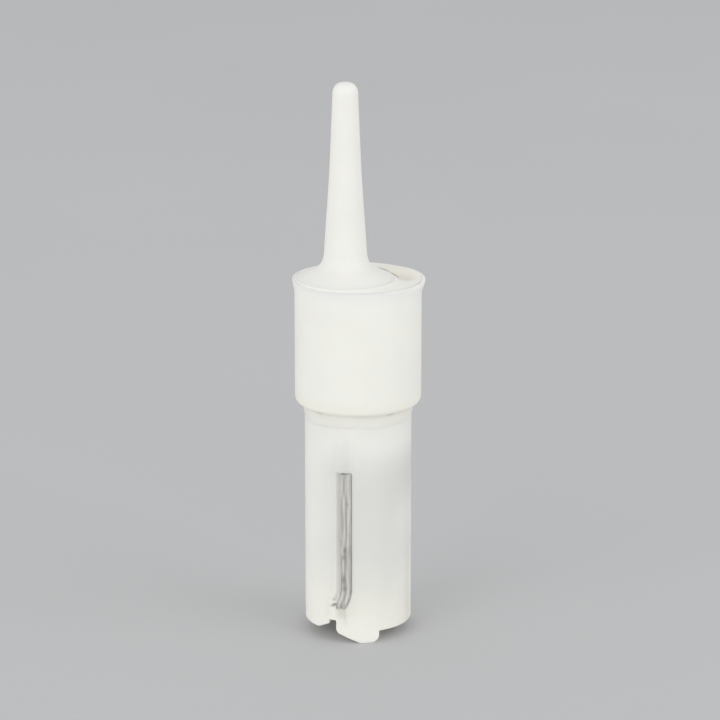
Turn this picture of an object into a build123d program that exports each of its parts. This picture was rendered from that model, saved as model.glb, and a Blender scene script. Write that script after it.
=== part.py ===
"""LED switch light insert: a milky plug-in base, a collar with a flared mouth, an off-centre tapered
light pipe, and the LED, series resistor and folded contact leads inside.

Millimetres, +Z up along the barrel. The origin is on the barrel's axis in the plane where the collar
seats on the holder. The front, with the LED lead folded up as a contact, faces -Y.
"""

from build123d import *
from math import cos, hypot, radians, sin
import os

os.makedirs("parts", exist_ok=True)


# LED, of which the barrel's bore takes the flange
flange_radius = 1.9
flange_height = 1.0
flange_rim = 0.40
flange_flat_cut = 0.18
led_height = 5.3
led_seat_depth = 0.7
post_cover = 0.23
frame_thickness = 0.4
frame_inset = 0.27
anvil_height = 2.6
anvil_radius = 0.55
anvil_head = 0.7
cup_radius = 0.42
cup_floor_radius = 0.26
cup_depth = 0.26
post_head = 0.45
chip_width = 0.28
chip_height = 0.14
bond_wire_radius = 0.02

# Base barrel, outwards from the LED's flange
fit_gap = 0.02
spigot_wall = 0.36
spigot_step = 0.20
spigot_step_z = 0.10
spigot_height = 3.3
barrel_wall = 0.65
barrel_length = 10.65
foot_rounding = 0.07
profile_turn = 20.0

# Tongue across the barrel's open bottom
tongue_left = 1.03
tongue_right = 0.99
tongue_depth = 0.53
tongue_root = 0.41
tongue_worn_width = 1.15
tongue_worn_height = 0.48
tongue_worn_rounding = 0.28
tongue_corner_rounding = 0.36

# Collar
collar_step = 0.45
collar_height = 5.90
collar_rounding = 0.25
cup_wall = 0.55
lip_overhang = 0.15
lip_height = 0.30
lip_chamfer = 0.05
mouth_edge = 0.13
funnel_depth = 0.60

# Light pipe, turned about its own axis, which stands off the barrel's
pipe_shift_x = -0.58
pipe_shift_y = -0.25
pipe_height = 9.23
tip_radius = 0.565
tip_rounding = 0.50
waist_radius = 0.74
waist_height = 5.0
bell_root_radius = 1.04
bell_root_height = 0.66
neck_fillet = 0.85
foot_clearance = 0.05
foot_shoulder_height = 0.10
foot_chamfer = 0.03

# Contact leads
lead_size = 0.5
lead_proud = 0.10
lead_gap = 0.03
groove_angle = 13.0
groove_play = 0.22
contact_top = 2.85
contact_rise = 1.22
hook_height = 0.65
hook_reach = 0.30
hook_radius = 0.80
bend_radius = 0.35
slot_reach = 0.85
slot_gap = 0.10
slot_flare_width = 0.65
slot_flare_height = 0.33

# Series resistor
resistor_y = 0.1
resistor_top = 2.45
resistor_length = 3.3
resistor_radius = 0.8
resistor_gap = 0.05
resistor_waist = 0.70
rod_radius = 0.5
cap_wall = 0.10
cap_length = 0.75
coat_end = 0.12
coat_chamfer = 0.15
coat_shoulder = 0.20

# Splice, resin and glue
lead_shift_top = 0.25
lead_shift_drop = 0.35
lead_shift_bend = 0.40
splice_length = 0.60
splice_tail = 0.10
splice_wall = 0.16
resin_height = 2.6
resin_recess = 0.53
resin_dish = 0.25
resin_setback = 0.02
collar_glue_film = 0.07
collar_glue_taper = 0.02
collar_glue_height = 0.71
hollow_angle = 30.0
hollow_offset = 2.30
hollow_radius = 1.9
hollow_depth = 0.5
crack_start = 12.0
crack_end = 62.0
crack_width = 0.07
crack_depth = 0.40

# Radii and levels that follow from the sizes above
led_radius = flange_radius - flange_rim
half_pitch = led_radius - post_cover
led_bore_radius = flange_radius + 2 * fit_gap
spigot_radius = led_bore_radius + spigot_wall
barrel_radius = spigot_radius + spigot_step
chamber_radius = barrel_radius - barrel_wall
collar_radius = barrel_radius + collar_step
collar_bore_radius = spigot_radius + fit_gap
seat_bore_radius = barrel_radius + collar_glue_film
cup_bore_radius = collar_radius - cup_wall
lip_radius = collar_radius + lip_overhang
mouth_radius = lip_radius - mouth_edge
funnel_slope = funnel_depth / (mouth_radius - cup_bore_radius)
funnel_z = collar_height - funnel_depth
lip_z = collar_height - lip_height
feet_z = -barrel_length
tongue_low_z = feet_z - tongue_depth
led_base_z = -led_seat_depth
led_top_z = led_base_z + led_height
pipe_shift = hypot(pipe_shift_x, pipe_shift_y)
plug_radius = cup_bore_radius - pipe_shift - fit_gap
foot_radius = mouth_radius - pipe_shift - foot_clearance
foot_edge_z = (fit_gap - foot_clearance) * funnel_slope
groove_width = lead_size + 2 * lead_gap + groove_play
groove_floor = barrel_radius + lead_proud - lead_size - lead_gap
lead_centre = barrel_radius + lead_proud - lead_size / 2
exit_centre = chamber_radius - lead_size
turn_z = feet_z + contact_rise
hook_z = turn_z + hook_height
slot_top_z = turn_z + lead_size / 2 + slot_gap
slot_width = slot_reach - hook_reach + lead_size / 2 + lead_gap
splice_offset = lead_size + fit_gap
resistor_x = chamber_radius - resistor_radius - resistor_gap
front, rear = groove_angle, groove_angle + 180


def facing(side, radius=0.0):
    """The plane that touches a cylinder of this radius: x to the right, y up, z outwards.

    The side is an angle about the barrel's axis, from the front (-Y), positive to the left.
    """
    turn = radians(-90 - side)
    outwards = Vector(cos(turn), sin(turn), 0)
    return Plane(origin=outwards * radius, x_dir=(-sin(turn), cos(turn), 0), z_dir=outwards)


def upright(turn):
    """The plane through the barrel's axis whose x points outwards at this turn from +X, with y up."""
    turn = radians(turn)
    return Plane(origin=(0, 0, 0), x_dir=(cos(turn), sin(turn), 0), z_dir=(sin(turn), -cos(turn), 0))


def contact_line(shift=0.0):
    """A folded contact's line, straight down and then hooked to the left towards the exit slot."""
    FilletPolyline(
        (shift, -contact_top), (shift, hook_z), (shift - hook_reach, turn_z), radius=hook_radius
    )


# Tongue seen from the front: square at the right, its left corner worn away, its ends cut to the
# barrel's round
with BuildPart() as tongue:
    with BuildSketch(Plane.XZ):
        with BuildLine():
            blade = FilletPolyline(
                (-tongue_left, feet_z + tongue_root),
                (-tongue_left, tongue_low_z + tongue_worn_height),
                (tongue_worn_width - tongue_left, tongue_low_z),
                (tongue_right, tongue_low_z),
                (tongue_right, feet_z + tongue_root),
                radius=(tongue_worn_rounding, tongue_worn_rounding, tongue_corner_rounding),
            )
            Line(blade @ 1, blade @ 0)
        make_face()
    extrude(amount=barrel_radius, both=True)
    with BuildSketch(Plane.XY.offset(feet_z + tongue_root)):
        Circle(barrel_radius)
    extrude(amount=-2 * (tongue_depth + tongue_root), mode=Mode.INTERSECT)

# Base barrel: a tube with a stepped bore, a spigot for the collar, a groove and an exit slot for each
# contact, and the tongue
with BuildPart() as base_barrel:
    with BuildSketch(upright(profile_turn)):
        with BuildLine():
            sole = Line((chamber_radius, feet_z), (barrel_radius - foot_rounding, feet_z))
            edge = TangentArc(sole @ 1, (barrel_radius, feet_z + foot_rounding), tangent=(1, 0))
            Polyline(
                edge @ 1,
                (barrel_radius, spigot_step_z),
                (spigot_radius, spigot_step_z),
                (spigot_radius, spigot_height),
                (led_bore_radius, spigot_height),
                (led_bore_radius, led_base_z),
                (chamber_radius, led_base_z),
                sole @ 0,
            )
        make_face()
    revolve(axis=Axis.Z)
    for side in (front, rear):
        with BuildSketch(facing(side, groove_floor)):
            with BuildLine():
                contact_line(-groove_play / 2)
            trace(line_width=groove_width)
            with Locations((-groove_play / 2, -contact_top)):
                Rectangle(groove_width, lead_gap, align=(Align.CENTER, Align.MIN))
        extrude(amount=barrel_radius, mode=Mode.SUBTRACT)
        with BuildSketch(facing(side, chamber_radius / 2)):
            with BuildLine():
                Polyline(
                    (-slot_reach, slot_top_z),
                    (-slot_reach, feet_z + slot_flare_height),
                    (-slot_reach - slot_flare_width, feet_z),
                    (-slot_reach - slot_flare_width, feet_z - foot_rounding),
                    (slot_width - slot_reach, feet_z - foot_rounding),
                    (slot_width - slot_reach, slot_top_z),
                    close=True,
                )
            make_face()
        extrude(amount=barrel_radius, mode=Mode.SUBTRACT)
    add(tongue.part)
base_barrel.part.label = "base_barrel"
export_step(base_barrel.part, "parts/base_barrel.step")

# Collar: a sleeve over the spigot that rests on its step, with a wider cup, a funnel mouth and a flared lip
with BuildPart() as collar:
    with BuildSketch(Plane.XZ):
        with BuildLine():
            seat = Line((seat_bore_radius, 0), (collar_radius - collar_rounding, 0))
            heel = TangentArc(seat @ 1, (collar_radius, collar_rounding), tangent=(1, 0))
            Polyline(
                heel @ 1,
                (collar_radius, lip_z),
                (lip_radius, collar_height - lip_chamfer),
                (lip_radius - lip_chamfer, collar_height),
                (mouth_radius, collar_height),
                (cup_bore_radius, funnel_z),
                (cup_bore_radius, spigot_height),
                (collar_bore_radius, spigot_height),
                (collar_bore_radius, spigot_step_z),
                (seat_bore_radius, spigot_step_z),
                seat @ 0,
            )
        make_face()
    revolve(axis=Axis.Z)
collar.part.label = "collar"
export_step(collar.part, "parts/collar.step")

# Light pipe: a slender taper with a domed tip, flowing into a bell foot whose plug drops into the funnel
pipe_axis = Plane(origin=(pipe_shift_x, pipe_shift_y, collar_height), x_dir=(1, 0, 0), z_dir=(0, -1, 0))
with BuildPart() as light_pipe:
    with BuildSketch(pipe_axis):
        with BuildLine():
            outline = FilletPolyline(
                (0, pipe_height),
                (tip_radius, pipe_height),
                (waist_radius, waist_height),
                (bell_root_radius, bell_root_height),
                (foot_radius - foot_chamfer, foot_shoulder_height),
                (foot_radius, foot_shoulder_height - foot_chamfer),
                (foot_radius, foot_edge_z),
                (plug_radius, foot_edge_z - (foot_radius - plug_radius) * funnel_slope),
                (plug_radius, led_top_z + fit_gap - collar_height),
                (0, led_top_z + fit_gap - collar_height),
                radius=(tip_rounding, 0, neck_fillet, 0, 0, 0, 0, 0),
            )
            Line(outline @ 1, outline @ 0)
        make_face()
    revolve(axis=Axis(pipe_axis.origin, (0, 0, 1)))
light_pipe.part.label = "light_pipe"
export_step(light_pipe.part, "parts/light_pipe.step")

# Cathode lead: the LED's anvil with its reflector cup, the lead down through the chamber, out and up
# the front groove
anvil_z = led_base_z + anvil_height
anvil_neck_z = anvil_z - anvil_head
flange_z = led_base_z + flange_height
chip_z = anvil_z - cup_depth
post_z = chip_z + chip_height
exit_plane = facing(front)
exit_point = exit_plane.from_local_coords((-hook_reach, turn_z, exit_centre))
shift_top_z = led_base_z - lead_shift_top
shift_low_z = shift_top_z - lead_shift_drop
with BuildPart() as cathode_lead:
    with BuildSketch(Plane.XZ):
        with BuildLine():
            Polyline(
                (-half_pitch - lead_size / 2, led_base_z),
                (-half_pitch + lead_size / 2, led_base_z),
                (-half_pitch + lead_size / 2, flange_z),
                (anvil_radius - frame_inset, anvil_neck_z - frame_inset),
                (anvil_radius - frame_inset, anvil_z - cup_depth),
                (-anvil_radius, anvil_z - cup_depth),
                (-half_pitch, anvil_neck_z),
                (-half_pitch, flange_z),
                (-half_pitch - lead_size / 2, flange_z - frame_inset),
                close=True,
            )
        make_face()
    extrude(amount=frame_thickness / 2, both=True)
    with BuildSketch(Plane.XY.offset(anvil_neck_z)):
        Circle(anvil_radius)
    extrude(amount=anvil_head)
    with BuildSketch(Plane.XZ):
        with BuildLine():
            Polyline(
                (0, anvil_z), (cup_radius, anvil_z), (cup_floor_radius, chip_z), (0, chip_z), close=True
            )
        make_face()
    revolve(axis=Axis.Z, mode=Mode.SUBTRACT)
    with BuildLine():
        FilletPolyline(
            (exit_point.X, exit_point.Y, turn_z),
            (exit_point.X, exit_point.Y, shift_low_z - half_pitch),
            (-half_pitch, 0, shift_top_z),
            (-half_pitch, 0, led_base_z + lead_gap),
            radius=lead_shift_bend,
        )
    with BuildSketch(Plane(origin=exit_point, x_dir=exit_plane.x_dir, z_dir=(0, 0, 1))):
        Rectangle(lead_size, lead_size)
    sweep()
    with BuildSketch(facing(front, exit_centre - lead_size / 2)):
        with Locations((-hook_reach, turn_z)):
            Rectangle(lead_size, lead_size)
    extrude(amount=lead_centre - exit_centre + lead_size)
    with BuildSketch(facing(front, lead_centre - lead_size / 2)):
        with BuildLine():
            contact_line()
        trace(line_width=lead_size)
    extrude(amount=lead_size)
cathode_lead.part.label = "cathode_lead"
export_step(cathode_lead.part, "parts/cathode_lead.step")

# Anode lead: the LED's post beside the anvil and its short lead, shifted sideways to lie along the resistor's
splice_y = resistor_y - splice_offset
splice_top_z = shift_low_z - lead_shift_bend / 2
with BuildPart() as anode_lead:
    with BuildSketch(Plane.XZ):
        with BuildLine():
            Polyline(
                (half_pitch - lead_size / 2, led_base_z),
                (half_pitch + lead_size / 2, led_base_z),
                (half_pitch + lead_size / 2, flange_z - frame_inset),
                (half_pitch, flange_z),
                (half_pitch, post_z),
                (half_pitch - post_head, post_z),
                (half_pitch - post_head, anvil_neck_z),
                (half_pitch - lead_size / 2, anvil_neck_z - frame_inset),
                close=True,
            )
        make_face()
    extrude(amount=frame_thickness / 2, both=True)
    with BuildLine():
        FilletPolyline(
            (half_pitch, 0, led_base_z + lead_gap),
            (half_pitch, 0, shift_top_z),
            (resistor_x, splice_y, shift_low_z),
            (resistor_x, splice_y, splice_top_z - splice_length - splice_tail),
            radius=lead_shift_bend,
        )
    with BuildSketch(Plane.XY.offset(led_base_z + lead_gap)):
        with Locations((half_pitch, 0)):
            Rectangle(lead_size, lead_size)
    sweep()
anode_lead.part.label = "anode_lead"
export_step(anode_lead.part, "parts/anode_lead.step")

# LED die on the floor of the anvil's cup
with BuildPart() as led_chip:
    with BuildSketch(Plane.XY.offset(chip_z)):
        Rectangle(chip_width, chip_width)
    extrude(amount=chip_height)
led_chip.part.label = "led_chip"
export_step(led_chip.part, "parts/led_chip.step")

# Bond wire: half a turn from the die's top over to the post's
bond_span = half_pitch - post_head / 2
with BuildPart() as bond_wire:
    with BuildLine():
        ThreePointArc((0, 0, post_z), (bond_span / 2, 0, post_z + bond_span / 2), (bond_span, 0, post_z))
    with BuildSketch(Plane.XY.offset(post_z)):
        RegularPolygon(bond_wire_radius, 6)
    sweep()
bond_wire.part.label = "bond_wire"
export_step(bond_wire.part, "parts/bond_wire.step")

# LED lens: the cast body, a dome on a flange with its flat on the cathode's side, round everything it holds
with BuildPart() as led_lens:
    with BuildSketch(Plane.XZ):
        with BuildLine():
            dome = CenterArc((0, led_top_z - led_radius), led_radius, 0, 90)
            Polyline(
                dome @ 1,
                (0, led_base_z),
                (flange_radius, led_base_z),
                (flange_radius, flange_z),
                (led_radius, flange_z),
                dome @ 0,
            )
        make_face()
    revolve(axis=Axis.Z)
    with BuildSketch(Plane.XY.offset(led_base_z)):
        with Locations((flange_flat_cut - flange_radius, 0)):
            Rectangle(flange_radius, 2 * flange_radius, align=(Align.MAX, Align.CENTER))
    extrude(amount=flange_height, mode=Mode.SUBTRACT)
    for held in (cathode_lead, anode_lead, led_chip, bond_wire):
        add(held.part, mode=Mode.SUBTRACT)
led_lens.part.label = "led_lens"
export_step(led_lens.part, "parts/led_lens.step")

# Resistor rod, upright beside the barrel's axis on the anode's side
coat_top_z = -resistor_top
coat_low_z = coat_top_z - resistor_length
resistor_mid_z = (coat_top_z + coat_low_z) / 2
cap_top_z = coat_top_z - coat_end
cap_low_z = coat_low_z + coat_end
resistor_plane = Plane(origin=(resistor_x, resistor_y, 0), x_dir=(1, 0, 0), z_dir=(0, -1, 0))
resistor_axis = Axis(resistor_plane.origin, (0, 0, 1))
with BuildPart() as resistor_core:
    with BuildSketch(Plane.XY.offset(cap_low_z + cap_wall)):
        with Locations((resistor_x, resistor_y)):
            Circle(rod_radius)
    extrude(amount=cap_top_z - cap_low_z - 2 * cap_wall)
resistor_core.part.label = "resistor_core"
export_step(resistor_core.part, "parts/resistor_core.step")

# Resistor end caps: a pressed cup over each end of the rod
with BuildPart() as resistor_end_caps:
    for cap_floor_z, inwards in ((cap_top_z, -1), (cap_low_z, 1)):
        with BuildSketch(resistor_plane):
            with BuildLine():
                Polyline(
                    (0, cap_floor_z),
                    (rod_radius + cap_wall, cap_floor_z),
                    (rod_radius + cap_wall, cap_floor_z + inwards * cap_length),
                    (rod_radius, cap_floor_z + inwards * cap_length),
                    (rod_radius, cap_floor_z + inwards * cap_wall),
                    (0, cap_floor_z + inwards * cap_wall),
                    close=True,
                )
            make_face()
        revolve(axis=resistor_axis)
resistor_end_caps.part.label = "resistor_end_caps"
export_step(resistor_end_caps.part, "parts/resistor_end_caps.step")

# Resistor upper lead, straight up from its cap to the splice
with BuildPart() as resistor_upper_lead:
    with BuildSketch(Plane.XY.offset(cap_top_z)):
        with Locations((resistor_x, resistor_y)):
            Circle(lead_size / 2)
    extrude(amount=splice_top_z - cap_top_z)
resistor_upper_lead.part.label = "resistor_upper_lead"
export_step(resistor_upper_lead.part, "parts/resistor_upper_lead.step")

# Resistor lower lead: down to the level of the exits, out through the rear slot and up the rear groove as the
# second contact
rear_plane = facing(rear)
rear_turn = rear_plane.from_local_coords((-hook_reach, turn_z, lead_centre))
rear_hook = rear_plane.from_local_coords((0, hook_z, lead_centre))
rear_end = rear_plane.from_local_coords((0, -contact_top, lead_centre))
with BuildPart() as resistor_lower_lead:
    with BuildLine():
        FilletPolyline(
            (resistor_x, resistor_y, cap_low_z),
            (resistor_x, resistor_y, turn_z),
            rear_turn,
            rear_hook,
            rear_end,
            radius=(bend_radius, bend_radius, hook_radius),
        )
    with BuildSketch(Plane.XY.offset(cap_low_z)):
        with Locations((resistor_x, resistor_y)):
            Circle(lead_size / 2)
    sweep()
resistor_lower_lead.part.label = "resistor_lower_lead"
export_step(resistor_lower_lead.part, "parts/resistor_lower_lead.step")

# Resistor coat: a dumbbell of lacquer over rod and caps, closed round each lead
with BuildPart() as resistor_coat:
    with BuildSketch(resistor_plane):
        with BuildLine():
            Polyline(
                (0, coat_top_z),
                (resistor_radius - coat_chamfer, coat_top_z),
                (resistor_radius, coat_top_z - coat_chamfer),
                (resistor_radius, cap_top_z - cap_length),
                (resistor_waist, cap_top_z - cap_length - coat_shoulder),
                (resistor_waist, cap_low_z + cap_length + coat_shoulder),
                (resistor_radius, cap_low_z + cap_length),
                (resistor_radius, coat_low_z + coat_chamfer),
                (resistor_radius - coat_chamfer, coat_low_z),
                (0, coat_low_z),
                close=True,
            )
        make_face()
    revolve(axis=resistor_axis)
    for held in (resistor_core, resistor_end_caps, resistor_upper_lead, resistor_lower_lead):
        add(held.part, mode=Mode.SUBTRACT)
resistor_coat.part.label = "resistor_coat"
export_step(resistor_coat.part, "parts/resistor_coat.step")

# Solder that wraps the anode lead and the resistor's upper lead where they lie side by side
with BuildPart() as splice_solder:
    with BuildSketch(Plane.XY.offset(splice_top_z)):
        with Locations((resistor_x, (resistor_y + splice_y) / 2)):
            SlotCenterToCenter(splice_offset, lead_size + 2 * splice_wall, rotation=90)
    extrude(amount=-splice_length)
    chamfer(splice_solder.faces().filter_by(Axis.Z).edges(), splice_wall / 2)
    for held in (anode_lead, resistor_upper_lead):
        add(held.part, mode=Mode.SUBTRACT)
splice_solder.part.label = "splice_solder"
export_step(splice_solder.part, "parts/splice_solder.step")

# Base resin: a plug dished at the top, recessed from the feet, that also fills the exit slots to half the
# leads' height
resin_top_z = feet_z + resin_height
resin_low_z = feet_z + resin_recess
with BuildPart() as base_potting:
    with BuildSketch(Plane.XZ):
        with BuildLine():
            Polyline(
                (0, resin_top_z - resin_dish),
                (chamber_radius, resin_top_z),
                (chamber_radius, resin_low_z),
                (0, resin_low_z),
                close=True,
            )
        make_face()
    revolve(axis=Axis.Z)
    for side in (front, rear):
        with BuildSketch(facing(side, exit_centre)):
            with Locations((-slot_reach, resin_low_z)):
                Rectangle(slot_width, turn_z - resin_low_z, align=(Align.MIN, Align.MIN))
        extrude(amount=barrel_radius - resin_setback - exit_centre)
    for held in (base_barrel, cathode_lead, resistor_lower_lead):
        add(held.part, mode=Mode.SUBTRACT)
base_potting.part.label = "base_potting"
export_step(base_potting.part, "parts/base_potting.step")

# Collar glue: a film between the barrel and the collar's seat bore, drawn out below the collar in a band
# that thins downwards
with BuildPart() as collar_glue:
    with BuildSketch(Plane.XZ):
        with BuildLine():
            Polyline(
                (barrel_radius, spigot_step_z),
                (seat_bore_radius, spigot_step_z),
                (seat_bore_radius - collar_glue_taper, collar_glue_film - collar_glue_height),
                (barrel_radius, -collar_glue_height),
                close=True,
            )
        make_face()
    revolve(axis=Axis.Z)
collar_glue.part.label = "collar_glue"
export_step(collar_glue.part, "parts/collar_glue.step")

# Pipe glue: fills the collar from the barrel's top end to the mouth, round the LED's dome and the pipe's
# plug, and rises from the lip to the foot's shoulder. It is hollow at the back right, where the gap
# beside the off-centre foot is widest, and has cracked away from the foot there
hollow_turn = radians(hollow_angle)
foot_top_z = collar_height + foot_shoulder_height - foot_chamfer
with BuildPart() as pipe_glue:
    with BuildSketch(Plane.XZ):
        with BuildLine():
            Polyline(
                (0, spigot_height),
                (cup_bore_radius, spigot_height),
                (cup_bore_radius, funnel_z),
                (mouth_radius, collar_height),
                (0, collar_height),
                close=True,
            )
        make_face()
    revolve(axis=Axis.Z)
    with BuildSketch(Plane.XY.offset(collar_height)):
        Circle(mouth_radius)
    with BuildSketch(Plane.XY.offset(foot_top_z)):
        with Locations((pipe_shift_x, pipe_shift_y)):
            Circle(foot_radius)
    loft()
    with Locations(
        (
            hollow_offset * cos(hollow_turn),
            hollow_offset * sin(hollow_turn),
            collar_height + hollow_radius - hollow_depth,
        )
    ):
        Sphere(hollow_radius, mode=Mode.SUBTRACT)
    with BuildSketch(Plane.XY.offset(foot_top_z)):
        with BuildLine():
            CenterArc((pipe_shift_x, pipe_shift_y), foot_radius, crack_start, crack_end - crack_start)
        trace(line_width=2 * crack_width)
    extrude(amount=-crack_depth, mode=Mode.SUBTRACT)
    for held in (light_pipe, led_lens):
        add(held.part, mode=Mode.SUBTRACT)
pipe_glue.part.label = "pipe_glue"
export_step(pipe_glue.part, "parts/pipe_glue.step")
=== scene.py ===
import bmesh
import bpy
import numpy as np
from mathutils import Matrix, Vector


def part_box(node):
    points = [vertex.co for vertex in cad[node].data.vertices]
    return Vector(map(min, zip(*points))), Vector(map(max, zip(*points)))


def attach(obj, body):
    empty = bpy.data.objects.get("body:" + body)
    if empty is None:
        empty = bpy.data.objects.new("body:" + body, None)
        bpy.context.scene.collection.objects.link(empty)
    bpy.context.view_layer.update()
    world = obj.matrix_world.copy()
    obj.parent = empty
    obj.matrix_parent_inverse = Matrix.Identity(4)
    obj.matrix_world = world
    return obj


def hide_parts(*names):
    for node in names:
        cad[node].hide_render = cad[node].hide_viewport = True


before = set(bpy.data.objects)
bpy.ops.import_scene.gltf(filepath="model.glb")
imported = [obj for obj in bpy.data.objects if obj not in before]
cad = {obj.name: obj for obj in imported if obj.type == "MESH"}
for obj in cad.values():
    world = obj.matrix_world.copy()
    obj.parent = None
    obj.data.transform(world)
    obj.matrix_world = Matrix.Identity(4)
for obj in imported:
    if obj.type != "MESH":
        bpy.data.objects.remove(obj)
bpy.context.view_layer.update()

# The LED's die is a small chip of semiconductor, sawn from a wafer and stuck with paste to the floor of
# the reflector cup on its lead frame. Its section also holds the helpers that every material needs.
mm = 0.001


def add(tree, kind, inputs=None, **settings):
    """Add a node with these settings. Each input is linked where it is given a socket, and set elsewhere."""
    made = tree.nodes.new(kind)
    for key, value in settings.items():
        setattr(made, key, value)
    for key, value in (inputs or {}).items():
        if isinstance(value, bpy.types.NodeSocket):
            tree.links.new(value, made.inputs[key])
        else:
            made.inputs[key].default_value = value
    return made


def finish(name, roughness, metallic=0.0, **constants):
    """A material: its tree, its shader, and the socket of the point shaded, in the object's coordinates."""
    material = bpy.data.materials.new(name)
    material.use_nodes = True
    tree = material.node_tree
    shader = tree.nodes["Principled BSDF"]
    shader.inputs["Roughness"].default_value = roughness
    shader.inputs["Metallic"].default_value = metallic
    for key, value in constants.items():
        shader.inputs[key.replace("_", " ")].default_value = value
    return material, tree, shader, add(tree, "ShaderNodeTexCoord").outputs["Object"]


def effect(name, inputs, outputs):
    """Start a node group: its tree, the sockets it is given and the sockets it puts out."""
    tree = bpy.data.node_groups.new(name, "ShaderNodeTree")
    for label, kind, value in inputs:
        socket = tree.interface.new_socket(label, in_out="INPUT", socket_type="NodeSocket" + kind)
        if value is not None:
            socket.default_value = value
    for label, kind in outputs:
        tree.interface.new_socket(label, in_out="OUTPUT", socket_type="NodeSocket" + kind)
    return tree, tree.nodes.new("NodeGroupInput").outputs, tree.nodes.new("NodeGroupOutput").inputs


def blend(tree, share, first, second):
    """A colour that goes from the first to the second as the share goes from 0 to 1."""
    mix = add(tree, "ShaderNodeMix", None, data_type="RGBA")
    for socket, value in ((mix.inputs[0], share), (mix.inputs[6], first), (mix.inputs[7], second)):
        if isinstance(value, bpy.types.NodeSocket):
            tree.links.new(value, socket)
        else:
            socket.default_value = value
    return mix.outputs[2]


def maths(tree, operation, *values):
    """The result of one sum on numbers or sockets."""
    return add(tree, "ShaderNodeMath", dict(enumerate(values)), operation=operation).outputs[0]


def rise(tree, value, low, high, top=1.0):
    """A share that goes smoothly from 0, where the value is low, to its top, where the value is high."""
    return add(
        tree, "ShaderNodeMapRange", {"Value": value, "From Min": low, "From Max": high, "To Max": top},
        interpolation_type="SMOOTHSTEP",
    ).outputs["Result"]


def noise(tree, point, size, detail=2.0):
    """Soft noise from 0 to 1 whose patches are about this size."""
    inputs = {"Vector": point, "Scale": 1 / size, "Detail": detail}
    return add(tree, "ShaderNodeTexNoise", inputs).outputs["Fac"]


# Mottling: two sizes of soft noise that lighten and darken a colour, roughen the surface unevenly and
# lift it a little.
mottling, given, out = effect(
    "mottling",
    [
        ("Point", "Vector", None),
        ("Color", "Color", (0.8, 0.8, 0.8, 1)),
        ("Patch Size", "Float", 1.0 * mm),
        ("Grain Size", "Float", 0.1 * mm),
        ("Darkest", "Float", 0.9),
        ("Roughness", "Float", 0.5),
        ("Roughness Spread", "Float", 0.1),
    ],
    [("Color", "Color"), ("Roughness", "Float"), ("Height", "Float")],
)
patches, grain = (
    add(
        mottling, "ShaderNodeTexNoise",
        {"Vector": given["Point"], "Scale": maths(mottling, "DIVIDE", 1.0, given[size]), "Detail": detail},
    ).outputs["Fac"]
    for size, detail in (("Patch Size", 2.0), ("Grain Size", 3.0))
)
dark = add(
    mottling, "ShaderNodeVectorMath", {0: given["Color"], "Scale": given["Darkest"]}, operation="SCALE"
).outputs[0]
in_patch = rise(mottling, patches, 0.35, 0.7)
uneven = maths(mottling, "MULTIPLY_ADD", grain, given["Roughness Spread"], given["Roughness"])
mottling.links.new(blend(mottling, in_patch, given["Color"], dark), out["Color"])
mottling.links.new(uneven, out["Roughness"])
mottling.links.new(grain, out["Height"])


def mottled(name, color, roughness, spread, darkest, patch_size, grain_size, lift, metallic=0.0, **constants):
    """A material of one mottled colour, with a fine grain that stands this high.

    It gives what finish gives, and the node of the mottling.
    """
    material, tree, shader, point = finish(name, roughness, metallic, **constants)
    skin = add(
        tree, "ShaderNodeGroup",
        {"Point": point, "Color": (*color, 1), "Patch Size": patch_size, "Grain Size": grain_size,
         "Darkest": darkest, "Roughness": roughness, "Roughness Spread": spread},
        node_tree=mottling,
    )
    bump = add(tree, "ShaderNodeBump", {"Height": skin.outputs["Height"], "Distance": lift, "Strength": 1.0})
    tree.links.new(skin.outputs["Color"], shader.inputs["Base Color"])
    tree.links.new(skin.outputs["Roughness"], shader.inputs["Roughness"])
    tree.links.new(bump.outputs["Normal"], shader.inputs["Normal"])
    return material, tree, shader, point, skin


def dress(node, material):
    """Give a CAD node this material in place of its own."""
    cad[node].data.materials.clear()
    cad[node].data.materials.append(material)


dress(
    "led_chip",
    mottled(
        "die", (0.30, 0.32, 0.36), roughness=0.22, spread=0.1, darkest=0.8,
        patch_size=0.2 * mm, grain_size=0.03 * mm, lift=0.001 * mm,
    )[0],
)

# The bond wire is fine gold. It is bonded to the top of the die, runs up in a half loop, and is bonded
# again to the head of the LED's other post.
dress(
    "bond_wire",
    mottled(
        "gold_wire", (0.85, 0.66, 0.32), roughness=0.25, spread=0.1, darkest=0.9,
        patch_size=0.1 * mm, grain_size=0.02 * mm, lift=0.001 * mm, metallic=1.0,
    )[0],
)

# The LED's body is clear epoxy, cast round the lead frame, with a flange that has a flat on the
# cathode's side.
dress(
    "led_lens",
    mottled(
        "clear_epoxy", (0.90, 0.90, 0.88), roughness=0.08, spread=0.05, darkest=0.96,
        patch_size=1.5 * mm, grain_size=0.2 * mm, lift=0.002 * mm, IOR=1.54, Transmission_Weight=0.9,
    )[0],
)

# The resistor is a ceramic rod with a pressed cap on each end, dipped in beige lacquer, with plain
# colour bands painted round it.
dress(
    "resistor_core",
    mottled(
        "resistor_ceramic", (0.85, 0.84, 0.80), roughness=0.7, spread=0.1, darkest=0.93,
        patch_size=0.4 * mm, grain_size=0.05 * mm, lift=0.004 * mm,
    )[0],
)
dress(
    "resistor_end_caps",
    mottled(
        "resistor_cap", (0.60, 0.60, 0.58), roughness=0.35, spread=0.15, darkest=0.8,
        patch_size=0.3 * mm, grain_size=0.05 * mm, lift=0.002 * mm, metallic=1.0,
    )[0],
)
lacquer, tree, shader, point, skin = mottled(
    "resistor_lacquer", (0.72, 0.62, 0.45), roughness=0.28, spread=0.12, darkest=0.92,
    patch_size=0.8 * mm, grain_size=0.1 * mm, lift=0.004 * mm,
)
band_brown = (0.22, 0.10, 0.05, 1)
coat_low, coat_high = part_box("resistor_coat")
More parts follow.
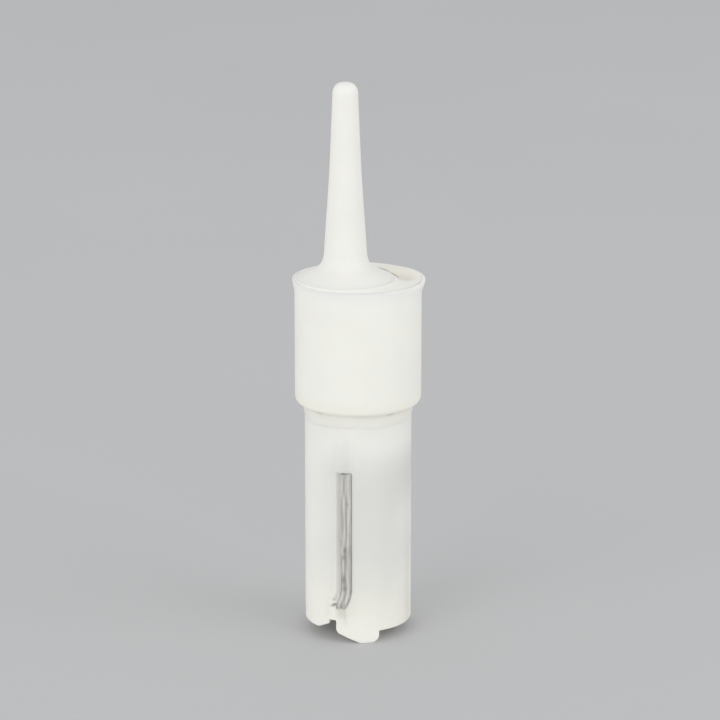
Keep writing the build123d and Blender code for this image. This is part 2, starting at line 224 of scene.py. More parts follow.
height = add(tree, "ShaderNodeSeparateXYZ", {"Vector": point}).outputs["Z"]
place_up = add(
    tree, "ShaderNodeMapRange", {"Value": height, "From Min": coat_low.z, "From Max": coat_high.z}
).outputs["Result"]
# Each stop starts a stretch of the coat's height: 1 where a band is painted, and 0 where the lacquer shows.
bands = add(tree, "ShaderNodeValToRGB", {"Fac": place_up})
bands.color_ramp.interpolation = "CONSTANT"
stops = bands.color_ramp.elements
stops[0].position, stops[0].color = 0.0, (0, 0, 0, 1)
stops[1].position, stops[1].color = 0.12, (1, 1, 1, 1)
for position, shade in ((0.22, 0), (0.34, 1), (0.42, 0), (0.50, 1), (0.58, 0), (0.78, 1), (0.86, 0)):
    stops.new(position).color = (shade, shade, shade, 1)
painted = blend(tree, bands.outputs["Color"], skin.outputs["Color"], band_brown)
tree.links.new(painted, shader.inputs["Base Color"])
dress("resistor_coat", lacquer)

# The splice is soft solder, drawn round the LED's anode lead and the resistor's upper lead. It holds the
# two together, and it has set with a dull, slightly grainy skin.
dress(
    "splice_solder",
    mottled(
        "solder", (0.66, 0.66, 0.65), roughness=0.38, spread=0.2, darkest=0.8,
        patch_size=0.3 * mm, grain_size=0.06 * mm, lift=0.006 * mm, metallic=1.0,
    )[0],
)

# The leads are tinned wire. Drawn and handled, they carry fine streaks along their length and small stains
# in the tin. The marks' darkening input lays painted shade and further stains on them.
streak_grey, tin_grey = (0.58, 0.57, 0.53, 1), (0.83, 0.82, 0.77, 1)
shade_and_stain_grey, stain_grey = (0.38, 0.37, 0.34, 1), (0.32, 0.31, 0.28, 1)
tin_marks, given, out = effect(
    "tin_marks",
    [("Point", "Vector", None), ("Shade And Stain", "Float", 0.0)],
    [("Color", "Color"), ("Roughness", "Float"), ("Height", "Float")],
)
drawn_out = add(
    tin_marks, "ShaderNodeMapping", {"Vector": given["Point"], "Scale": (1, 1, 0.08)}, vector_type="POINT"
).outputs["Vector"]
streaks = noise(tin_marks, drawn_out, 0.12 * mm, 3.0)
stains = rise(tin_marks, noise(tin_marks, given["Point"], 0.7 * mm, 3.0), 0.58, 0.72, 0.4)
streaked = blend(tin_marks, rise(tin_marks, streaks, 0.36, 0.58), streak_grey, tin_grey)
darkened = blend(tin_marks, given["Shade And Stain"], streaked, shade_and_stain_grey)
tin_marks.links.new(blend(tin_marks, stains, darkened, stain_grey), out["Color"])
tin_marks.links.new(maths(tin_marks, "MULTIPLY_ADD", stains, 0.25, 0.33), out["Roughness"])
tin_marks.links.new(streaks, out["Height"])


def tinned(name):
    """Tinned wire: material, tree and marks node, whose darkening input lays on painted shade and stains."""
    material, tree, shader, point = finish(name, roughness=0.35, metallic=0.6)
    marks = add(tree, "ShaderNodeGroup", {"Point": point}, node_tree=tin_marks)
    height = marks.outputs["Height"]
    bump = add(tree, "ShaderNodeBump", {"Height": height, "Distance": 0.008 * mm, "Strength": 1.0})
    tree.links.new(marks.outputs["Color"], shader.inputs["Base Color"])
    tree.links.new(marks.outputs["Roughness"], shader.inputs["Roughness"])
    tree.links.new(bump.outputs["Normal"], shader.inputs["Normal"])
    return material, tree, marks


def stand_in(name, mesh, node, material, crease):
    """Show this mesh as a piece of its own in place of the CAD node.

    It is shaded smooth, but for creases where its faces turn by more than this many degrees.
    """
    mesh.shade_smooth()
    mesh.set_sharp_from_angle(angle=np.radians(crease))
    mesh.materials.clear()
    mesh.materials.append(material)
    piece = bpy.data.objects.new(name, mesh)
    bpy.context.scene.collection.objects.link(piece)
    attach(piece, "root")
    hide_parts(node)
    return piece


def softened(name, node, material, edge, segments=2, cuts=(), shape=None):
    """A copy of a CAD node's mesh, merged, with its sharp edges rounded over by this much.

    Each cut is a point and a normal: what lies beyond that plane is taken off, and the hole is closed. A
    shape is a function that gives the points new places.
    """
    crease = 30
    mesh = cad[node].data.copy()
    mesh.name = name
    merged = bmesh.new()
    merged.from_mesh(mesh)
    bmesh.ops.remove_doubles(merged, verts=merged.verts, dist=0.0005 * mm)
    for place, normal in cuts:
        everything = merged.verts[:] + merged.edges[:] + merged.faces[:]
        bmesh.ops.bisect_plane(merged, geom=everything, plane_co=place, plane_no=normal, clear_outer=True)
        hole = [border for border in merged.edges if border.is_boundary]
        bmesh.ops.triangle_fill(merged, use_beauty=True, edges=hole)
    bmesh.ops.dissolve_limit(
        merged, angle_limit=np.radians(0.5), verts=merged.verts, edges=merged.edges, delimit={"NORMAL"}
    )
    merged.to_mesh(mesh)
    merged.free()
    if shape:
        points = np.empty(3 * len(mesh.vertices))
        mesh.vertices.foreach_get("co", points)
        mesh.vertices.foreach_set("co", shape(points.reshape(-1, 3)).ravel())
    piece = stand_in(name, mesh, node, material, crease)
    bevel = piece.modifiers.new("edges", "BEVEL")
    bevel.width = edge
    bevel.segments = segments
    bevel.limit_method = "ANGLE"
    bevel.angle_limit = np.radians(crease)
    bevel.harden_normals = True
    return piece


tin = tinned("tinned_lead")[0]
for lead in ("anode_lead", "resistor_upper_lead"):
    dress(lead, tin)
softened("rear_contact", "resistor_lower_lead", tin, 0.03 * mm)

# The cathode's lead leaves the base through the slot at its foot and is folded up the front groove as a
# contact. Pliers have pressed its face into two ridges. The valley between them and the edges get painted
# shade.
straight_ahead, groove_turned = -90, -13
contact_turn = np.radians(straight_ahead + groove_turned)
contact_outwards = np.array((np.cos(contact_turn), np.sin(contact_turn), 0))
contact_sideways = np.array((-np.sin(contact_turn), np.cos(contact_turn), 0))
tiny = 1e-12


def eased(corners, cuts, steps=8, closed=False):
    """The line through these corners, each rounded from this far before it to this far after it.

    A corner P becomes the curve (1 - t)^2 A + 2 t (1 - t) P + t^2 B, from A before it to B after it.
    """
    corners = np.array(corners, dtype=float)
    before = np.roll(corners, 1, axis=0) - corners
    after = np.roll(corners, -1, axis=0) - corners
    if not closed:
        before[0] = after[-1] = 0
    reach = np.array(cuts, dtype=float)[:, None]
    first = corners + before * reach / np.maximum(np.linalg.norm(before, axis=1, keepdims=True), tiny)
    last = corners + after * reach / np.maximum(np.linalg.norm(after, axis=1, keepdims=True), tiny)
    t = np.linspace(0, 1, steps)[:, None, None]
    curve = (1 - t) ** 2 * first + 2 * t * (1 - t) * corners + t**2 * last
    return curve.transpose(1, 0, 2).reshape(-1, corners.shape[1])


def spaced(line, longest):
    """Points along the line: each stretch of it divided evenly into steps no longer than this."""
    stretches = np.diff(line, axis=0)
    slack = 1e-6
    counts = np.ceil(np.linalg.norm(stretches, axis=1) / longest - slack).astype(int)
    which = np.repeat(np.arange(len(stretches)), counts)
    share = (np.arange(counts.sum()) - np.repeat(np.cumsum(counts) - counts, counts)) / counts[which]
    return np.vstack([line[which] + share[:, None] * stretches[which], line[-1:]])


def shell(name, grid, node, material, ring=False, capped=False, crease=40, marks=None):
    """A closed piece from a grid of points, whose rows are closed loops joined in quads.

    The rows end in poles, or in flat caps, or in a ring run back to the first. Marks are named numbers, one
    for each point, that the material reads.
    """
    index = np.arange(grid.shape[0] * grid.shape[1]).reshape(grid.shape[:2])
    low, high = (index, np.roll(index, -1, axis=0)) if ring else (index[:-1], index[1:])
    quads = np.stack([low, np.roll(low, -1, axis=1), np.roll(high, -1, axis=1), high], axis=-1)
    faces = quads.reshape(-1, 4).tolist()
    if capped:
        faces += [index[0, ::-1].tolist(), index[-1].tolist()]
    mesh = bpy.data.meshes.new(name)
    mesh.from_pydata(grid.reshape(-1, 3).tolist(), [], faces)
    for label, values in (marks or {}).items():
        mark = mesh.attributes.new(label, "FLOAT", "POINT")
        mark.data.foreach_set("value", values.astype(np.float32).ravel())
    merged = bmesh.new()
    merged.from_mesh(mesh)
    bmesh.ops.remove_doubles(merged, verts=merged.verts, dist=0.0002 * mm)
    bmesh.ops.recalc_face_normals(merged, faces=merged.faces)
    merged.to_mesh(mesh)
    merged.free()
    return stand_in(name, mesh, node, material, crease)


def mound(distance, width):
    """A share that is 1 at no distance and falls off as a bell curve of this width."""
    return np.exp(-0.5 * (distance / width) ** 2)


# The route is given in mm as sideways, up and outwards. From the slot the lead hooks down and out, leans
# over to the middle of the groove, and goes straight up to its top.
contact_start, contact_out = 1.62, 2.35
hook_sideways, hook_high, hook_low = -0.30, -9.43, -9.50
straight_from, below_top, contact_top = -8.78, -2.88, -2.85
route = eased(
    np.array(
        (
            (hook_sideways, hook_high, contact_start), (hook_sideways, hook_low, contact_out),
            (0, straight_from, contact_out), (0, below_top, contact_out), (0, contact_top, contact_out),
        )
    ) * mm,
    np.array((0, 0.32, 0.40, 0, 0)) * mm,
)
route = spaced(route, 0.06 * mm)
path = route[:, :1] * contact_sideways + route[:, 1:2] * (0, 0, 1) + route[:, 2:] * contact_outwards
along = np.gradient(path, axis=0)
along /= np.linalg.norm(along, axis=1, keepdims=True)
side = contact_sideways - (along @ contact_sideways)[:, None] * along
side /= np.linalg.norm(side, axis=1, keepdims=True)
face = np.cross(side, along)
run = np.concatenate([[0], np.cumsum(np.linalg.norm(np.diff(path, axis=0), axis=1))])[:, None]

# The section is a square with its face first. Beyond the flats, its corners are brought in to a radius.
lead_half, flat_half, corner_radius = 0.25 * mm, 0.19 * mm, 0.06 * mm
square = np.array(((-1, 1), (1, 1), (1, -1), (-1, -1), (-1, 1))) * lead_half
section = spaced(square, 0.02 * mm)[:-1]
corner = np.clip(np.abs(section) - flat_half, 0, None)
rounding = np.maximum(np.linalg.norm(corner, axis=1, keepdims=True), tiny)
rounded = np.sign(section) * (flat_half + corner * corner_radius / rounding)
section = np.where(corner.min(axis=1, keepdims=True) > 0, rounded, section)
across, out_of_face = section.T

# The valley is a cosine across the face, which wanders sideways by two sines of the way along the lead. The
# lead's very end is narrower, and it was cut off a little askew.
valley_width, valley_depth, face_band = 0.24 * mm, 0.035 * mm, 0.05 * mm
end_width, end_slope = 0.84, 0.10
wander = 0.022 * mm * np.sin(run / (0.62 * mm)) + 0.014 * mm * np.sin(run / (0.23 * mm) + 1.0)
valley = 0.5 + 0.5 * np.cos(2 * np.pi * (across - wander) / valley_width)
on_face = np.clip((out_of_face - flat_half) / face_band, 0, 1)
sunk = out_of_face - valley_depth * valley * on_face
blunted = np.where(run > run[-1] - 0.01 * mm, end_width, 1.0)
grid = (
    path[:, None, :]
    + (across * blunted)[:, :, None] * side[:, None, :]
    + (sunk * blunted)[:, :, None] * face[:, None, :]
)
grid[-1, :, 2] -= end_slope * (lead_half - across)

# A stain is a place across and up the face, a width, a height and a strength. The valley and the edges get
# painted shade, darker towards the foot, and the sides a little; the stains are added to it.
height = route[:, 1:2]
stained = sum(
    strength * mound(across - place * mm, wide * mm) * mound(height - level * mm, tall * mm)
    for place, level, wide, tall, strength in (
        (-0.04, -6.57, 0.06, 0.09, 0.9), (-0.10, -6.92, 0.06, 0.12, 0.7), (-0.12, -8.02, 0.07, 0.16, 0.9),
        (-0.06, -8.46, 0.05, 0.10, 0.8), (0.07, -7.10, 0.06, 0.50, 0.4), (0.06, -4.80, 0.04, 0.30, 0.3),
    )
)
shaded_halfway, halfway, more_per_mm, side_shaded = 0.5, -5, 0.03, 0.1
darker_below = shaded_halfway + more_per_mm * (halfway - height / mm)
shade_and_stain = np.clip(darker_below * valley**2 * on_face + side_shaded * (1 - on_face) + stained * on_face, 0, 1)
contact_tin, tree, marks = tinned("tinned_contact")
darkened = add(tree, "ShaderNodeAttribute", attribute_name="shade_and_stain").outputs["Fac"]
tree.links.new(darkened, marks.inputs["Shade And Stain"])
shell("front_contact", grid, "cathode_lead", contact_tin, capped=True, marks={"shade_and_stain": shade_and_stain})
softened(
    "cathode_inside", "cathode_lead", tin, 0.03 * mm,
    cuts=[(contact_outwards * (contact_start * mm), contact_outwards)],
)

# The base is a milky moulded tube. The resistor inside shows through as a soft grey painted shade on its
# right, and the LED's lead above the front contact as another. Towards the feet the resin inside gives it a
# yellow tint, which is also lightened there as painted light.
base_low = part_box("base_barrel")[0]
resin_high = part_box("base_potting")[1]

# Painted shade of a part seen through: how far a dark upright part inside shows on the milky wall outside it,
# painted into the colour. It falls off with the distance from the part's axis, and beyond its two ends.
painted_wall_shade, given, out = effect(
    "painted_wall_shade",
    [
        ("Point", "Vector", None),
        ("Axis", "Vector", (0, 0, 0)),
        ("Near", "Float", 1.5 * mm),
        ("Far", "Float", 2.5 * mm),
        ("Low", "Float", 0.0),
        ("High", "Float", 0.0),
        ("Softness", "Float", 1.0 * mm),
    ],
    [("Shade", "Float")],
)
offset = add(
    painted_wall_shade, "ShaderNodeVectorMath", {0: given["Point"], 1: given["Axis"]}, operation="SUBTRACT"
).outputs[0]
level = add(painted_wall_shade, "ShaderNodeVectorMath", {0: offset, 1: (1, 1, 0)}, operation="MULTIPLY").outputs[0]
distance = add(painted_wall_shade, "ShaderNodeVectorMath", {0: level}, operation="LENGTH").outputs["Value"]
upright = add(painted_wall_shade, "ShaderNodeSeparateXYZ", {"Vector": given["Point"]}).outputs["Z"]
below = maths(painted_wall_shade, "SUBTRACT", given["Low"], given["Softness"])
above = maths(painted_wall_shade, "ADD", given["High"], given["Softness"])
over_low = rise(painted_wall_shade, upright, below, given["Low"])
under_high = rise(painted_wall_shade, upright, above, given["High"])
between = maths(painted_wall_shade, "MULTIPLY", over_low, under_high)
beside = rise(painted_wall_shade, distance, given["Far"], given["Near"])
painted_wall_shade.links.new(maths(painted_wall_shade, "MULTIPLY", beside, between), out["Shade"])


def milky(name, color, darkest, depth, weight=0.5, roughness=0.42):
    """A milky satin moulding that light enters to this depth. It gives what finish gives, and the colour."""
    material, tree, shader, point, skin = mottled(
        name, color, roughness, spread=0.10, darkest=darkest, patch_size=2.6 * mm, grain_size=0.09 * mm,
        lift=0.0025 * mm, IOR=1.49, Subsurface_Weight=weight, Subsurface_Scale=depth,
    )
    shader.inputs["Subsurface Radius"].default_value = (1.0, 0.92, 0.78)
    return material, tree, shader, point, skin.outputs["Color"]


def paint_wall_shade(tree, point, color, strength, tint, **where):
    """The colour, taken towards the tint by this strength, as painted shade where a dark part shows through.
    """
    shade = add(tree, "ShaderNodeGroup", {"Point": point, **where}, node_tree=painted_wall_shade).outputs["Shade"]
    return blend(tree, maths(tree, "MULTIPLY", shade, strength), color, (*tint, 1))


base_finish, tree, shader, point, color = milky(
    "milky_base", (0.82, 0.82, 0.79), darkest=0.97, depth=0.3 * mm, weight=0.4
)
painted_shade_grey, slot_painted_shade = (0.40, 0.41, 0.39), (0.55, 0.53, 0.45)
collar_painted_shade, resin_tint_and_light = (0.79, 0.78, 0.73, 1), (0.91, 0.89, 0.80, 1)
# Painted shade, in this order: the resistor, the LED's lead above the contact, a broad shade over the middle
# of the front lower down, and a shade beside the contact's hook at the slot.
color = paint_wall_shade(
    tree, point, color, 0.34, painted_shade_grey,
    Axis=((coat_low.x + coat_high.x) / 2, (coat_low.y + coat_high.y) / 2, 0), Near=1.3 * mm, Far=2.6 * mm,
    Low=coat_low.z + 2.4 * mm, High=coat_high.z - 0.8 * mm, Softness=2.1 * mm,
)
color = paint_wall_shade(
    tree, point, color, 0.10, painted_shade_grey, Axis=(-0.65 * mm, -1.95 * mm, 0),
    Near=0.35 * mm, Far=0.85 * mm, Low=-2.9 * mm, High=-1.5 * mm, Softness=0.4 * mm,
)
color = paint_wall_shade(
    tree, point, color, 0.25, painted_shade_grey, Axis=(0.15 * mm, -0.9 * mm, 0),
    Near=1.6 * mm, Far=2.4 * mm, Low=-9.0 * mm, High=-3.2 * mm, Softness=2.0 * mm,
)
color = paint_wall_shade(
    tree, point, color, 0.30, slot_painted_shade, Axis=(-0.40 * mm, -2.42 * mm, 0),
    Near=0.05 * mm, Far=0.5 * mm, Low=-9.7 * mm, High=-9.2 * mm, Softness=0.3 * mm,
)
height = add(tree, "ShaderNodeSeparateXYZ", {"Vector": point}).outputs["Z"]
# Painted shade below the collar's overhang, a little yellow.
color = blend(tree, rise(tree, height, -1.7 * mm, -0.9 * mm, 0.35), color, collar_painted_shade)
# Towards the feet the resin's yellow tint, lighter than the base, is also painted light there.
wavy = maths(tree, "MULTIPLY_ADD", noise(tree, point, 2.0 * mm, 1.0), 2.4 * mm, height)
yellow_and_lit = rise(tree, wavy, resin_high.z + 2.6 * mm, resin_high.z - 0.4 * mm, 0.5)
tree.links.new(blend(tree, yellow_and_lit, color, resin_tint_and_light), shader.inputs["Base Color"])


def drafted(points):
    """Both grooves made shallow beside their contact, because the foot of each side wall comes up.

    A point whose depth is that of the groove's floor moves outwards, by one height on the left of the
    contact and by another on its right. Those on the left also move inwards, towards the contact. Beside
    the hook, the left begins further over.
    """
    floor_depth, near_floor, groove_half = 2.07 * mm, 0.01 * mm, 1.0 * mm
    left_of, hook_height = -0.11, 0.65 * mm
    left_lift, right_lift, left_shift = 0.29, 0.38, 0.18
    for turned_to in (1, -1):
        across = points @ contact_sideways * turned_to
        depth = points @ contact_outwards * turned_to
        hooked = np.clip((straight_from * mm - points[:, 2]) / hook_height, 0, 1)
        left = across < (left_of + hook_sideways * hooked) * mm
        foot = (np.abs(depth - floor_depth) < near_floor) & (np.abs(across) < groove_half)
        raised = (foot * np.where(left, left_lift, right_lift) * mm)[:, None] * contact_outwards
        narrowed = (foot * left * left_shift * mm)[:, None] * contact_sideways
        points = points + turned_to * (raised + narrowed)
    return points


softened("base_shell", "base_barrel", base_finish, 0.05 * mm, segments=3, shape=drafted)

# The resin that closes the base is cast epoxy, a little yellowed. It fills both slots flush with the barrel,
# wraps the foot of each contact, and has left a small void beside it.
resin_finish, tree, shader, point, skin = mottled(
    "yellowed_resin", (0.85, 0.84, 0.775), roughness=0.35, spread=0.1, darkest=0.95,
    patch_size=0.8 * mm, grain_size=0.2 * mm, lift=0.006 * mm,
)
hook_shade, hook_aside = (0.42, 0.40, 0.33), -0.17
slot_cut, slot_back = 1.86, 1.84
color = skin.outputs["Color"]
# Painted shade in the resin round each contact's hook.
for turned_to in (1, -1):
    hook = turned_to * (contact_out * contact_outwards + hook_aside * contact_sideways)
    color = paint_wall_shade(
        tree, point, color, 0.36, hook_shade, Axis=(hook[0] * mm, hook[1] * mm, 0),
        Near=0.12 * mm, Far=0.50 * mm, Low=-9.85 * mm, High=-9.3 * mm, Softness=0.32 * mm,
    )
tree.links.new(color, shader.inputs["Base Color"])
softened(
    "resin_plug", "base_potting", resin_finish, 0.01 * mm,
    cuts=[
        (turned_to * contact_outwards * slot_cut * mm, turned_to * contact_outwards) for turned_to in (1, -1)
    ],
)


def eased_step(value, low, high):
    """A share that is 0 up to low and 1 from high, by 3 t^2 - 2 t^3 between them."""
    t = np.clip((value - low) / (high - low), 0, 1)
    return t * t * (3 - 2 * t)


def slot_fill(name, turned_to):
    """The resin in one slot, in mm, turned to the front by 1 and to the back by -1.

    Its skin is a grid of points across and up the slot. Their distance outwards is w = sqrt(r^2 - x^2), with
    r the barrel's radius and x the place across, less three dips: where it meets the slot's upper edge,
    a shallow hollow beside the hook, and the void, which lies at a slant. A flat back closes the piece.
    """
    left, right, top, bottom, deeper, radius = -0.92, 0.05, -9.07, -10.12, 0.15, 2.502
    across = np.linspace(left, right, 58)[None, :]
    low = bottom - deeper * eased_step(across, -0.52, -0.46)
    height = top + (low - top) * np.linspace(0, 1, 60)[:, None]

    edge_dip, edge_from, hollow_dip, void_dip = 0.17, -9.34, 0.05, 0.36
    hollow_across, hollow_height, void_across, void_height = -0.28, -9.78, -0.60, -9.40
    slant_across, slant_up = 0.90, 0.44
    over_edge = eased_step(height, edge_from, top) * eased_step(across, -0.72, -0.56)
    in_hollow = mound(across - hollow_across, 0.22) * mound(height - hollow_height, 0.16)
    along_void = slant_across * (across - void_across) + slant_up * (height - void_height)
    over_void = slant_across * (height - void_height) - slant_up * (across - void_across)
    in_void = mound(along_void, 0.09) * mound(over_void, 0.042)
    skin = np.sqrt(radius**2 - across**2) - edge_dip * over_edge - hollow_dip * in_hollow - void_dip * in_void

    across = across + 0 * skin
    back = slot_back + 0 * skin
    loop_across = np.hstack([across, across[:, ::-1]])[..., None]
    loop_out = np.hstack([skin, back])[..., None]
    grid = turned_to * (loop_across * contact_sideways + loop_out * contact_outwards)
    grid[..., 2] = np.hstack([height, height[:, ::-1]])
    first, last = (np.broadcast_to(row.mean(axis=0), row.shape) for row in (grid[0], grid[-1]))
    shell(name, np.stack([first, *grid, last]) * mm, "base_potting", resin_finish)


slot_fill("front_slot_resin", 1)
slot_fill("rear_slot_resin", -1)

# The collar is a second milky moulding, a little warmer, pushed down on the base. Its thin lip is flared,
# slightly uneven and pressed in at the front, and the glue has tinted its lower end.
collar_radius, lip_radius, flare_width = 2.95, 3.10, 0.15


def turned(profile, count):
    """A grid of points: the profile of radius and height turned about the upright axis."""
    turn = np.linspace(0, 2 * np.pi, count, endpoint=False)
    radius, height = profile[:, :1], profile[:, 1:]
    return np.stack([radius * np.cos(turn), radius * np.sin(turn), height + 0 * turn], axis=-1)


def turned_ring(profile, longest, count):
    """A grid of points: the closed profile, divided into steps no longer than this, turned into a ring."""
    closed = np.vstack([profile, profile[:1]])
    return turned(spaced(closed, longest)[:-1], count)


collar_profile = eased(
    np.array(
        (
            (2.57, 0), (collar_radius, 0), (collar_radius, 5.36), (lip_radius, 5.72), (lip_radius, 5.90),
            (2.97, 5.90), (2.40, 5.30), (2.40, 3.30), (2.32, 3.30), (2.32, 0.10), (2.57, 0.10),
        )
    ) * mm,
    np.array((0.02, 0.34, 0.24, 0.10, 0.06, 0.03, 0.1, 0.02, 0.02, 0.02, 0.02)) * mm,
    closed=True,
)

# The flared part of the lip wanders in and out by the sum of three sines of the angle round it, is pressed
# in by a bell curve of the angle from the front, and rises and falls by a sine.
grid = turned_ring(collar_profile, 0.5 * mm, 256)
turn = np.arctan2(grid[..., 1], grid[..., 0])
radius = np.hypot(grid[..., 0], grid[..., 1])
from_front = np.arccos(np.clip(-np.sin(turn), -1, 1))
flare = np.clip((radius - collar_radius * mm) / (flare_width * mm), 0, 1)
uneven = 0.012 * mm * np.sin(3 * turn + 0.6) + 0.008 * mm * np.sin(11 * turn) + 0.03 * mm * np.cos(turn)
uneven -= 0.105 * mm * mound(from_front, 0.9)
grid[..., :2] *= (1 + flare * uneven / radius)[..., None]
grid[..., 2] += flare * (0.012 * mm * np.sin(5 * turn) - 0.02 * mm * np.clip(np.cos(turn), 0, 1))

collar_finish, tree, shader, point, color = milky(
    "milky_collar", (0.85, 0.85, 0.80), darkest=0.98, depth=0.4 * mm
)
over_glue, heel_painted_light, lip_painted_light = (0.83, 0.815, 0.73, 1), (0.90, 0.89, 0.82, 1), (0.90, 0.90, 0.86, 1)
height = add(tree, "ShaderNodeSeparateXYZ", {"Vector": point}).outputs["Z"]
wavy = maths(tree, "MULTIPLY_ADD", noise(tree, point, 2.5 * mm, 1.0), 1.0 * mm, height)
color = blend(tree, rise(tree, wavy, 1.4 * mm, 0.4 * mm, 0.8), color, over_glue)
# Painted light: the heel is lightened against the shade at the joint, and so is the upper part towards the
# lip.
color = blend(tree, rise(tree, height, 0.36 * mm, 0.02 * mm, 0.7), color, heel_painted_light)
color = blend(tree, rise(tree, height, 4.5 * mm, 5.8 * mm, 0.5), color, lip_painted_light)
tree.links.new(color, shader.inputs["Base Color"])
shell("collar_shell", grid, "collar", collar_finish, ring=True)

# The glue that holds the collar has run out below it in a thin yellowed film. It has a small fillet under
# the collar's heel and an uneven lower edge, and two small voids painted on it as dark shade.
film_profile = eased(
    np.array(((2.502, 0.06), (2.74, 0.06), (2.59, -0.12), (2.552, -0.45), (2.504, -0.72))) * mm,
    np.array((0.005, 0.005, 0.12, 0.12, 0.003)) * mm, closed=True,
)
grid = turned_ring(film_profile, 0.1 * mm, 192)
turn = np.arctan2(grid[..., 1], grid[..., 0])
shortened = 0.90
runs = 0.05 * np.sin(5 * turn + 1) + 0.04 * np.sin(9 * turn) + 0.02 * np.sin(17 * turn)
grid[..., 2] *= np.where(grid[..., 2] < 0, shortened + runs, 1)

film_finish, tree, shader, point, color = milky(
    "yellowed_film", (0.81, 0.797, 0.73), darkest=0.97, depth=0.1 * mm, weight=0.0, roughness=0.35
)
thin_film, in_void = (0.80, 0.795, 0.755, 1), (0.35, 0.34, 0.30)
height = add(tree, "ShaderNodeSeparateXYZ", {"Vector": point}).outputs["Z"]
color = blend(tree, rise(tree, height, -0.10 * mm, -0.62 * mm), color, thin_film)
# Painted shade for the two voids: the film's surface is not cut there.
for void_x, void_y in ((-1.70, -1.85), (1.42, -2.08)):
    color = paint_wall_shade(
        tree, point, color, 0.5, in_void, Axis=(void_x * mm, void_y * mm, 0),
        Near=0.05 * mm, Far=0.35 * mm, Low=-0.05 * mm, High=0.1 * mm, Softness=0.08 * mm,
    )
tree.links.new(color, shader.inputs["Base Color"])
shell("collar_film", grid, "collar_glue", film_finish, ring=True)

# The glue in the collar's mouth is flush with the lip and with the light pipe's foot. It has shrunk to a
# yellowed hollow at the back right, where the gap is widest, and parted from the foot in a fine crack.
pipe_axis = np.array((-0.58, -0.25)) * mm
foot_radius = 2.288 * mm
mouth_radius = 2.955 * mm
turn = np.linspace(0, 2 * np.pi, 256, endpoint=False)
rays = np.stack([np.cos(turn), np.sin(turn)], axis=-1)


def reach(radius):
    """How far each ray from the light pipe's axis goes before it meets this circle about the base's axis.

    The ray's distance d solves |axis + d ray| = radius, so d = -b + sqrt(b^2 - |axis|^2 + radius^2), where b
    is the axis measured along the ray.
    """
    lean = rays @ pipe_axis
    return -lean + np.sqrt(lean**2 - pipe_axis @ pipe_axis + radius**2)


def arc(start, end, fade):
    """A share for each ray: 1 between these angles in degrees, faded at both ends."""
    degrees = np.degrees(turn)
    return 1 / (1 + np.exp((start - degrees) / fade)) / (1 + np.exp((degrees - end) / fade))


gap = reach(mouth_radius) - foot_radius
share = np.linspace(0, 1, 30)[:, None] ** 1.6
distance = foot_radius + share * gap
place = pipe_axis + distance[..., None] * rays


def around(x, y, width):
    """A mound on the glue's upper skin, about this place and of this width, in mm."""
    return mound(np.linalg.norm(place - np.array((x, y)) * mm, axis=-1), width * mm)


# The top falls from the foot to the lip, sags between them, and goes down in the hollow and the crack and up
# in the bead. Below it the ring goes down the funnel to the cup and comes back up under the foot.
# The crack runs close beyond the foot, and further beyond it where the foot's bell would hide it.
foot_height, lip_fall, sag = 5.97, 0.07, 0.03
hollow_depth, bead_height, crack_depth, crack_width = 0.16 * mm, 0.07 * mm, 0.02 * mm, 0.09 * mm
crack_beyond, crack_further = 0.20, 0.14
midway = np.clip(4 * share * (1 - share), 0, 1)
hollow = around(1.98, 0.45, 0.60) * np.sqrt(midway)
behind = around(1.70, 1.35, 0.9)
crack = mound(distance - foot_radius - (crack_beyond + crack_further * arc(50, 90, 4)) * mm, crack_width)
crack *= arc(14, 32, 2) + arc(38, 66, 3) + 0.4 * arc(146, 168, 3)
top = (foot_height - lip_fall * share) * mm - sag * gap * midway - hollow_depth * hollow
top += bead_height * around(1.72, 0.0, 0.10) - crack_depth * crack
under = np.stack([reach(2.69 * mm), reach(2.42 * mm), 0 * gap + 1.76 * mm, 0 * gap + 2.20 * mm])
under_height = np.array((5.605, 5.32, 5.32, 5.765))[:, None] * mm + 0 * under
distance = np.vstack([distance, under])
grid = np.dstack([pipe_axis + distance[..., None] * rays, np.vstack([top, under_height])])
marks = {
    label: np.vstack([values, 0 * under])
    for label, values in (("hollow", hollow), ("behind", behind), ("crack", crack))
}

glue_finish, tree, shader, point, color = milky(
    "yellowed_glue", (0.90, 0.895, 0.85), darkest=0.98, depth=0.1 * mm, weight=0.0, roughness=0.35
)
# Behind the foot the glue's own yellowing; in the hollow its yellowing deepened with painted shade; along the
# crack a dark line of painted shade.
for label, low, high, strength, tint in (
    ("behind", 0.2, 0.8, 1.0, (0.89, 0.865, 0.78)),
    ("hollow", 0.1, 0.9, 0.9, (0.77, 0.74, 0.64)),
    ("crack", 0.1, 0.8, 0.95, (0.36, 0.34, 0.28)),
):
    mark = add(tree, "ShaderNodeAttribute", attribute_name=label).outputs["Fac"]
    color = blend(tree, rise(tree, mark, low, high, strength), color, (*tint, 1))
tree.links.new(color, shader.inputs["Base Color"])
shell("mouth_glue", grid, "pipe_glue", glue_finish, ring=True, marks=marks)

# The glue in the cup below the mouth is the CAD's, cut off just under the ring.
cup_top = (0, 0, 5.30 * mm)
softened("cup_glue", "pipe_glue", glue_finish, 0.01 * mm, cuts=[(cup_top, (0, 0, 1))])

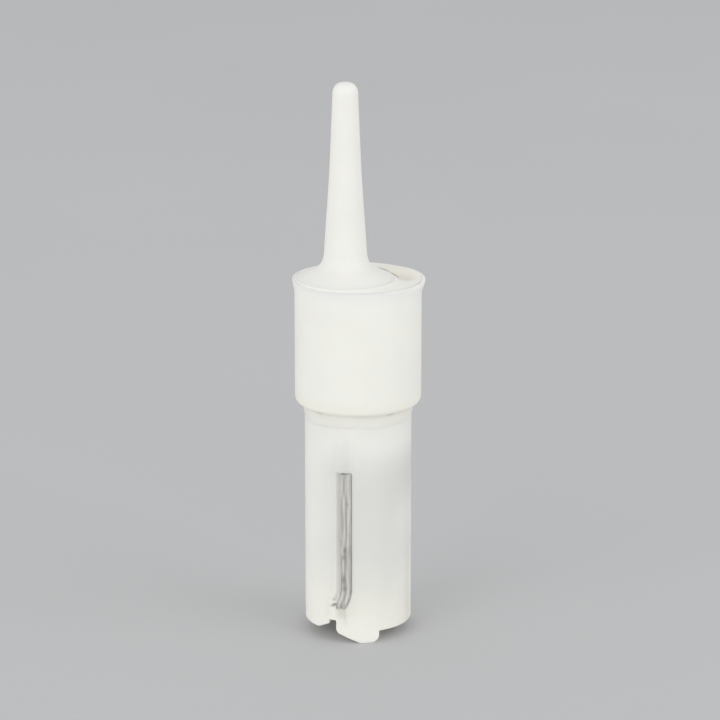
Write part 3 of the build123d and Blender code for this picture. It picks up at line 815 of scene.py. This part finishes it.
# The light pipe is one milky moulding: a long taper with a domed tip and a bell-shaped foot. The foot is
# glued into the collar's mouth, off-centre, and its end is flat above the LED.
pipe_profile = eased(
    np.array(
        (
            (0, 15.13), (0.565, 15.13), (0.74, 10.90), (1.04, 6.56), (2.24, 6.005), (2.288, 5.972),
            (2.288, 5.868), (1.748, 5.30), (1.748, 4.62), (0, 4.62),
        )
    ) * mm,
    np.array((0, 0.52, 0.8, 0.55, 0.02, 0.003, 0.02, 0.02, 0.02, 0)) * mm, steps=12,
)
grid = turned(spaced(pipe_profile, 0.25 * mm), 128)
grid[..., :2] += pipe_axis
pipe_finish = milky("milky_pipe", (0.835, 0.833, 0.795), darkest=0.98, depth=0.4 * mm, roughness=0.5)[0]
shell("pipe_shell", grid, "light_pipe", pipe_finish, crease=50)

# The studio: a pale floor under the insert's tongue, two soft lamps, and an even pale surround. The camera,
# the metal and the clear parts see the floor and the surround darker than they light the insert.
floor_half = 1.0
floor_z = base_low.z - 0.01 * mm
floor_mesh = bpy.data.meshes.new("floor")
floor_corners = [(x * floor_half, y * floor_half, floor_z) for x, y in ((-1, -1), (1, -1), (1, 1), (-1, 1))]
floor_mesh.from_pydata(floor_corners, [], [(0, 1, 2, 3)])
floor = bpy.data.objects.new("floor", floor_mesh)
bpy.context.scene.collection.objects.link(floor)


def looked_at(tree):
    """1 for what the camera, a reflection or a clear part sees, and 0 for what only lights something."""
    rays = add(tree, "ShaderNodeLightPath").outputs
    seen = maths(tree, "MAXIMUM", rays["Is Camera Ray"], rays["Is Glossy Ray"])
    return maths(tree, "MAXIMUM", seen, rays["Is Transmission Ray"])


paper_lights = (0.80, 0.80, 0.80, 1)
paper_dark, paper_pale = (0.52, 0.525, 0.535, 1), (0.54, 0.545, 0.55, 1)
floor_finish, tree, shader, point = finish("floor_paper", 0.9)
seen_paper = blend(tree, noise(tree, point, 25 * mm), paper_dark, paper_pale)
tree.links.new(blend(tree, looked_at(tree), paper_lights, seen_paper), shader.inputs["Base Color"])
floor_mesh.materials.append(floor_finish)

surround_lights, surround_seen = (1, 1, 1, 1), (0.72, 0.72, 0.73, 1)
surround = bpy.data.worlds.new("surround")
bpy.context.scene.world = surround
surround.use_nodes = True
tree = surround.node_tree
lit = tree.nodes["Background"]
lit.inputs["Strength"].default_value = 0.80
tree.links.new(blend(tree, looked_at(tree), surround_lights, surround_seen), lit.inputs["Color"])


def lamp(name, place, power, size):
    """A square soft white lamp at this place that faces the insert."""
    data = bpy.data.lights.new(name, "AREA")
    data.energy = power
    data.size = size
    made = bpy.data.objects.new(name, data)
    made.location = place
    made.rotation_mode = "QUATERNION"
    made.rotation_quaternion = made.location.to_track_quat("Z", "Y")
    bpy.context.scene.collection.objects.link(made)


lamp("key_lamp", (-0.275, -0.355, 0.15), power=0.60, size=0.34)
lamp("fill_lamp", (0.38, -0.205, 0.20), power=0.45, size=0.34)

# The camera stands 145 mm in front of the insert and looks 15.65 degrees down on it, as the ellipse of the
# lip shows in the photo. Its lens frames the insert as the photo does.
camera_distance = 145 * mm
camera_rise = np.radians(15.65)
aim = np.array((0.09, 0.0, 1.95)) * mm
camera_data = bpy.data.cameras.new("camera")
camera_data.sensor_width = 36
camera_data.lens = 155.4
camera_data.clip_start = 0.01
camera = bpy.data.objects.new("camera", camera_data)
camera.location = aim + camera_distance * np.array((0, -np.cos(camera_rise), np.sin(camera_rise)))
camera.rotation_euler = (np.pi / 2 - camera_rise, 0, 0)
bpy.context.scene.collection.objects.link(camera)
bpy.context.scene.camera = camera
bpy.context.scene.view_settings.view_transform = "Standard"
